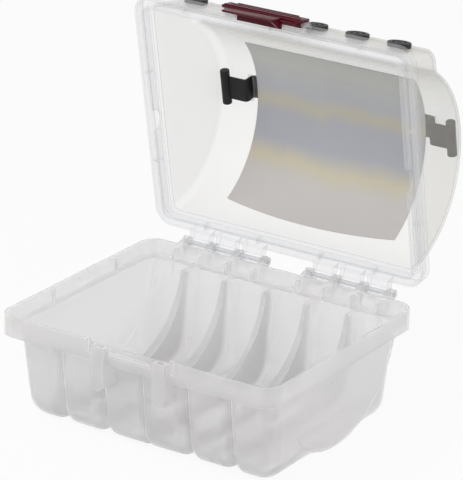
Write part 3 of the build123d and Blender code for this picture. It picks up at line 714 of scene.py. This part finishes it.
class SPOOLBOX_OT_label(Operator):
    """Make the curved sheet inside the dome"""
    bl_idname = "spool_box.label"
    bl_label = "Label Sheet"

    COLUMNS = 24    # faces along the box
    ROWS = 48       # faces round the dome
    PRINT = [
        (0.00, (0.50, 0.47, 0.46)),
        (0.20, (0.47, 0.44, 0.42)),
        (0.30, (0.45, 0.42, 0.33)),
        (0.38, (0.13, 0.18, 0.27)),
        (0.54, (0.10, 0.15, 0.25)),
        (0.62, (0.42, 0.39, 0.29)),
        (0.70, (0.12, 0.17, 0.26)),
        (0.84, (0.30, 0.33, 0.32)),
    ]
    BACK = [
        (0.00, (0.58, 0.55, 0.54)),
        (0.22, (0.55, 0.53, 0.51)),
        (0.31, (0.57, 0.52, 0.39)),
        (0.41, (0.41, 0.42, 0.46)),
        (0.55, (0.43, 0.44, 0.48)),
        (0.63, (0.53, 0.50, 0.41)),
        (0.71, (0.49, 0.50, 0.53)),
        (0.88, (0.59, 0.60, 0.57)),
    ]

    def execute(self, context):
        label = context.scene.spool_box.label
        paints = [banded_sheet("sheet_back", self.BACK, 0.5),
                  banded_sheet("sheet_print", self.PRINT, 0.35)]
        finished("banded_sheet", self.sheet(label), paints, "lid", "label_sheet", ON_LID)
        return {"FINISHED"}

    def sheet(self, label):
        """A line along the box, spun part of the way round the dome's axis."""
        axis = Vector((0, label.centre_y, label.centre_z))
        out = Vector((0, math.cos(label.start), math.sin(label.start)))
        middle = axis + out * label.radius
        step = 2 * label.half_length / self.COLUMNS
        shape = bmesh.new()
        line = [shape.verts.new(middle + Vector((i * step - label.half_length, 0, 0)))
                for i in range(self.COLUMNS + 1)]
        edges = [shape.edges.new(pair) for pair in zip(line, line[1:])]
        bmesh.ops.spin(shape, geom=line + edges, cent=axis, axis=(1, 0, 0), dvec=(0, 0, 0),
                       angle=label.end - label.start, steps=self.ROWS, use_merge=False,
                       use_duplicate=False)
        for face in shape.faces:
            radial = face.calc_center_median() - axis
            radial.x = 0
            if face.normal.dot(radial) < 0:
                face.normal_flip()
        bmesh.ops.solidify(shape, geom=shape.faces[:], thickness=label.thickness)
        self.lay_out(shape, label, axis)
        self.hang(shape, label, axis)
        return shape

    def hang(self, shape, label, axis):
        """Let the lower edge hang lower in its middle, as the loose sheet's does."""
        for vert in shape.verts:
            arm = vert.co - axis
            turn = math.atan2(arm.z, arm.y)
            low = (label.end - turn) / (label.end - label.start)
            middle = 1.0 - (arm.x / label.half_length) ** 2
            sag = label.bow / label.radius * middle * low ** 3
            vert.co = axis + Matrix.Rotation(-sag, 3, "X") @ arm

    def lay_out(self, shape, label, axis):
        """UV along the box and round the dome, and the printed face's material."""
        layer = shape.loops.layers.uv.new("sheet")
        middle = label.radius - label.thickness / 2
        for face in shape.faces:
            centre = face.calc_center_median() - axis
            face.material_index = int(centre.yz.length > middle)
            for loop in face.loops:
                point = loop.vert.co - axis
                turn = math.atan2(point.z, point.y)
                loop[layer].uv = (point.x / (2 * label.half_length) + 0.5,
                                  (turn - label.start) / (label.end - label.start))


class SPOOLBOX_OT_strap(Operator):
    """Make the carry strap with its two cross bars"""
    bl_idname = "spool_box.strap"
    bl_label = "Carry Strap"

    BAR_ROUND = 0.8 * MM            # rounding of a cross bar's ends
    RIM_ROUND = 0.5 * MM            # rounding of the strap's long edges
    RIM_ANGLE = math.radians(60)    # edges sharper than this are its long edges
    UPRIGHT = 0.01                  # most that the normal of an upright face rises

    def execute(self, context):
        strap = context.scene.spool_box.strap
        shape = self.band(strap)
        turn = Matrix.Rotation(QUARTER_TURN, 4, "X")
        for side in (-1, 1):
            bar = Matrix.Translation((side * strap.bar_x, strap.centre_y, strap.bar_z))
            rod(shape, strap.bar_radius, strap.bar_length / 2, bar @ turn, self.BAR_ROUND)
        finished("black_strap", shape, [pebbled_black(tuple(strap.black))], "lid",
                 "carry_strap", ON_LID)
        return {"FINISHED"}

    def band(self, strap):
        """The strap's outer face, folded through the slots, with its thickness behind it."""
        half = strap.thickness / 2
        tight, wide = strap.bend - half, strap.bend + half
        start = strap.centre_y - strap.width / 2
        path = [
            (-strap.bar_x, strap.bar_z + half),
            (-strap.slot_x - half, strap.bar_z + half),
            (-strap.slot_x - half, strap.top + half),
            (strap.slot_x + half, strap.top + half),
            (strap.slot_x + half, strap.bar_z + half),
            (strap.bar_x, strap.bar_z + half),
        ]
        shape = bmesh.new()
        line = [shape.verts.new((x, start, z)) for x, z in path]
        edges = [shape.edges.new(pair) for pair in zip(line, line[1:])]
        far_side = points_in(bmesh.ops.extrude_edge_only(shape, edges=edges))
        bmesh.ops.translate(shape, vec=(0, strap.width, 0), verts=far_side)
        for (x, z), radius in zip(path[1:5], (tight, wide, wide, tight)):
            fold = [edge for edge in shape.edges if all(
                abs(vert.co.x - x) < NEAR and abs(vert.co.z - z) < NEAR
                for vert in edge.verts)]
            rounded(shape, fold, radius, segments=6)
        for face in shape.faces:
            upright = abs(face.normal.z) < self.UPRIGHT
            outward = face.normal.x * face.calc_center_median().x
            if face.normal.z < -self.UPRIGHT or upright and outward < 0:
                face.normal_flip()
        bmesh.ops.solidify(shape, geom=shape.faces[:], thickness=strap.thickness)
        bmesh.ops.recalc_face_normals(shape, faces=shape.faces)
        rims = [edge for edge in shape.edges if edge.calc_face_angle(0) > self.RIM_ANGLE]
        rounded(shape, rims, self.RIM_ROUND, segments=2)
        return shape


class SPOOLBOX_OT_latch(Operator):
    """Make the latch with its ridged grip"""
    bl_idname = "spool_box.latch"
    bl_label = "Latch"

    PLATE_HEAD = 1.0 * MM       # upper edge of the plate
    PLATE_ROUND = 0.5 * MM
    END_INSET = 0.2 * MM        # how far the neck stops short of the plate's ends
    LIP_HEIGHT = 2.3 * MM
    LIP_ROOT = 1.0 * MM         # how far the lips start inside the plate
    LOW_LIP_TOE = -1.2 * MM     # inner edge of the shallow lip along the whole plate
    LIP_ROUND = 0.4 * MM        # rounding of the lips and of the barrel's ends
    GRIP_RISE = 3.0 * MM        # from the plate's foot to the grip's
    GRIP_ROOT = 0.4 * MM        # how far the grip starts inside the plate
    GRIP_ROUND = 0.7 * MM       # rounding of the grip and the thumb tab
    RIDGE_INSET = 2.0 * MM      # how far the lowest ridge stops short of the grip's ends
    RIDGE_ROOT = 0.3 * MM       # how far a ridge starts inside the grip
    RIDGE_ROUND = 0.45 * MM
    TAB_ROOT = 0.1 * MM         # how far the thumb tab starts inside the plate
    TAB_RISE = 4.0 * MM         # how far it runs up over the plate's foot
    WEB_THICKNESS = 1.9 * MM
    WEB_INSET = 0.1 * MM        # how far the web stops short of the tab's end
    GUSSET_HALF = 1.2 * MM      # half of the gusset's thickness

    def execute(self, context):
        latch = context.scene.spool_box.latch
        shape = bmesh.new()
        self.plate(shape, latch)
        self.grip(shape, latch)
        self.tab(shape, latch)
        self.gusset(shape, latch)
        finished("maroon_latch", shape, [gloss_maroon(tuple(latch.maroon))], "latch",
                 "latch", ON_LATCH)
        return {"FINISHED"}

    def plate(self, shape, latch):
        """The plate, its barrel, the neck between them and the lips under its foot."""
        half = latch.half_length
        front, back, foot = latch.plate_front, latch.plate_back, latch.plate_foot
        block(shape, (-half, front, foot), (half, back, self.PLATE_HEAD), self.PLATE_ROUND)
        turn = Matrix.Rotation(QUARTER_TURN, 4, "Y")
        rod(shape, latch.barrel_radius, half, turn, self.LIP_ROUND)
        neck = [(front + 0.2 * MM, -1.0 * MM), (back + 0.4 * MM, -3.4 * MM), (0, -3.5 * MM),
                (0, 3.5 * MM), (front + 0.9 * MM, 1.8 * MM)]
        along_x(shape, neck, self.END_INSET - half, half - self.END_INSET)
        for reach, toe in ((latch.lip_half, latch.lip_toe), (half, self.LOW_LIP_TOE)):
            block(shape, (-reach, back - self.LIP_ROOT, foot),
                  (reach, toe, foot + self.LIP_HEIGHT), self.LIP_ROUND)

    def grip(self, shape, latch):
        """The wide grip and its ridges, each shorter than the one below."""
        low = latch.plate_foot + self.GRIP_RISE
        front = latch.grip_front
        inside = latch.plate_front + self.GRIP_ROOT
        block(shape, (-latch.grip_half, front, low),
              (latch.grip_half, inside, low + latch.grip_height), self.GRIP_ROUND)
        pitch = latch.grip_height / latch.ridges
        for index in range(latch.ridges):
            reach = latch.grip_half - self.RIDGE_INSET - index * latch.ridge_step
            foot = low + (index + 0.5) * pitch - latch.ridge_height / 2
            block(shape, (-reach, front - latch.ridge_depth, foot),
                  (reach, front + self.RIDGE_ROOT, foot + latch.ridge_height),
                  self.RIDGE_ROUND)

    def tab(self, shape, latch):
        """The thumb tab below the plate, with the web that ties its end to the lip."""
        foot, front, toe = latch.plate_foot, latch.plate_front, latch.lip_toe
        block(shape, (latch.tab_left, latch.tab_front, latch.tab_foot),
              (latch.tab_right, front + self.TAB_ROOT, foot + self.TAB_RISE), self.GRIP_ROUND)
        web = [(toe - 0.4 * MM, foot + 0.3 * MM), (front - 0.4 * MM, foot + 0.3 * MM),
               (front - 0.4 * MM, latch.tab_foot + 0.4 * MM), (toe - 2.8 * MM, foot - 4.0 * MM)]
        end = latch.tab_right - self.WEB_INSET
        along_x(shape, web, end - self.WEB_THICKNESS, end)

    def gusset(self, shape, latch):
        """The triangular stiffener on the back of the plate."""
        root = latch.plate_back - 0.5 * MM
        corners = [(root, -15.7 * MM), (0.2 * MM, -15.7 * MM), (root, -8.2 * MM)]
        along_x(shape, corners, latch.gusset_x - self.GUSSET_HALF,
                latch.gusset_x + self.GUSSET_HALF)


class SPOOLBOX_OT_stage(Operator):
    """Set the floor, the light and the camera"""
    bl_idname = "spool_box.stage"
    bl_label = "Stage"

    KEY_SPOT, KEY_SIZE = (-0.9, -1.3, 1.6), 1.1
    FILL_SPOT, FILL_SIZE = (1.5, -0.5, 1.1), 1.4
    LAMP_AIM = Vector((0, 0, 0.15))
    FLOOR_REACH = 6.0
    FLOOR_WHITE = 0.9     # share of plain white in the floor that the camera sees
    CLEAR_WALLS = 48      # how many clear walls a ray may cross
    VIEW_DEPTH = 20.0

    def execute(self, context):
        stage = context.scene.spool_box.stage
        self.floor(stage)
        self.sky(context, stage)
        self.lamp("key", stage.key, self.KEY_SPOT, self.KEY_SIZE)
        self.lamp("fill", stage.fill, self.FILL_SPOT, self.FILL_SIZE)
        self.camera(context, stage)
        context.scene.view_settings.view_transform = "Standard"
        context.scene.cycles.transparent_max_bounces = self.CLEAR_WALLS
        return {"FINISHED"}

    def floor(self, stage):
        """A wide floor that the camera sees nearly white, with the box's shadow kept."""
        shape = bmesh.new()
        bmesh.ops.create_grid(shape, x_segments=1, y_segments=1, size=self.FLOOR_REACH)
        floor = meshed("floor", shape)
        paint = Paint("pale_floor")
        speckle = paint.noise(paint.place(), scale=40.0)
        tone = paint.mixed(speckle, tuple(stage.floor), dimmed(stage.floor, 0.98))
        matt = paint.node("ShaderNodeBsdfDiffuse", {}, {"Color": tone})
        white = paint.node("ShaderNodeEmission", {}, {"Color": WHITE, "Strength": 1.0})
        seen = self.seen_directly(paint)
        mix = paint.node("ShaderNodeMixShader", {},
                         {0: seen * self.FLOOR_WHITE, 1: matt.outputs[0],
                          2: white.outputs[0]})
        paint.node("ShaderNodeOutputMaterial", {}, {"Surface": mix.outputs[0]})
        floor.data.materials.append(paint.material)

    def seen_directly(self, nodes):
        """1 for what the camera sees, straight or in gloss or through plastic."""
        path = nodes.node("ShaderNodeLightPath", {}, {}).outputs
        straight, gloss, through = (Varying(nodes, path[f"Is {kind} Ray"])
                                    for kind in ("Camera", "Glossy", "Transmission"))
        return (straight + gloss + through).at_most(1.0)

    def sky(self, context, stage):
        """White for the camera and plain even light for the rest."""
        world = bpy.data.worlds.new("studio")
        context.scene.world = world
        nodes = Nodes(world)
        strength = between(stage.sky, 1.0, self.seen_directly(nodes))
        back = nodes.node("ShaderNodeBackground", {}, {"Color": WHITE, "Strength": strength})
        nodes.node("ShaderNodeOutputWorld", {}, {"Surface": back.outputs[0]})

    def lamp(self, name, power, spot, size):
        """A soft square lamp that looks at the box."""
        data = bpy.data.lights.new(name, "AREA")
        data.energy = power
        data.size = size
        lamp = added(name, data)
        lamp.location = spot
        way = self.LAMP_AIM - lamp.location
        lamp.rotation_euler = way.to_track_quat("-Z", "Y").to_euler()

    def camera(self, context, stage):
        """The photograph's view: round the box, up, and turned a little on its side."""
        out = Vector((math.sin(stage.azimuth) * math.cos(stage.elevation),
                      -math.cos(stage.azimuth) * math.cos(stage.elevation),
                      math.sin(stage.elevation)))
        data = bpy.data.cameras.new("camera")
        data.lens = stage.lens
        data.clip_end = self.VIEW_DEPTH
        camera = added("camera", data)
        turn = (-out).to_track_quat("-Z", "Y").to_matrix().to_4x4()
        turn = turn @ Matrix.Rotation(stage.roll, 4, "Z")
        camera.matrix_world = Matrix.Translation(Vector(stage.aim) + out * stage.distance) @ turn
        context.scene.camera = camera


# The operators in order, each with the settings that the panel shows under it.
# Those of the clear plastic, under the base, are the lid's too.
PIECES = (
    (SPOOLBOX_OT_base, "plastic"),
    (SPOOLBOX_OT_lid, None),
    (SPOOLBOX_OT_pins, "pins"),
    (SPOOLBOX_OT_ports, "ports"),
    (SPOOLBOX_OT_label, "label"),
    (SPOOLBOX_OT_strap, "strap"),
    (SPOOLBOX_OT_latch, "latch"),
    (SPOOLBOX_OT_stage, "stage"),
)


class SPOOLBOX_PT_pieces(Panel):
    """The box's pieces with their settings"""
    bl_idname = "SPOOLBOX_PT_pieces"
    bl_label = "Spool Box"
    bl_space_type = "VIEW_3D"
    bl_region_type = "UI"
    bl_category = "Spool Box"

    def draw(self, context):
        for operator, group in PIECES:
            box = self.layout.box()
            box.operator(operator.bl_idname)
            if group:
                settings = getattr(context.scene.spool_box, group)
                for name in settings.bl_rna.properties.keys():
                    if name not in ("rna_type", "name"):
                        box.prop(settings, name)


GROUPS = (ClearPlastic, PinFinish, PortSizes, LabelSizes, StrapSizes, LatchSizes,
          StageSettings, SpoolBox)
CLASSES = GROUPS + tuple(operator for operator, group in PIECES) + (SPOOLBOX_PT_pieces,)


def register():
    for cls in CLASSES:
        bpy.utils.register_class(cls)
    bpy.types.Scene.spool_box = PointerProperty(type=SpoolBox)


def unregister():
    del bpy.types.Scene.spool_box
    for cls in reversed(CLASSES):
        bpy.utils.unregister_class(cls)


def main():
    register()
    for operator, group in PIECES:
        family, name = operator.bl_idname.split(".")
        getattr(getattr(bpy.ops, family), name)()


if __name__ == "__main__":
    main()
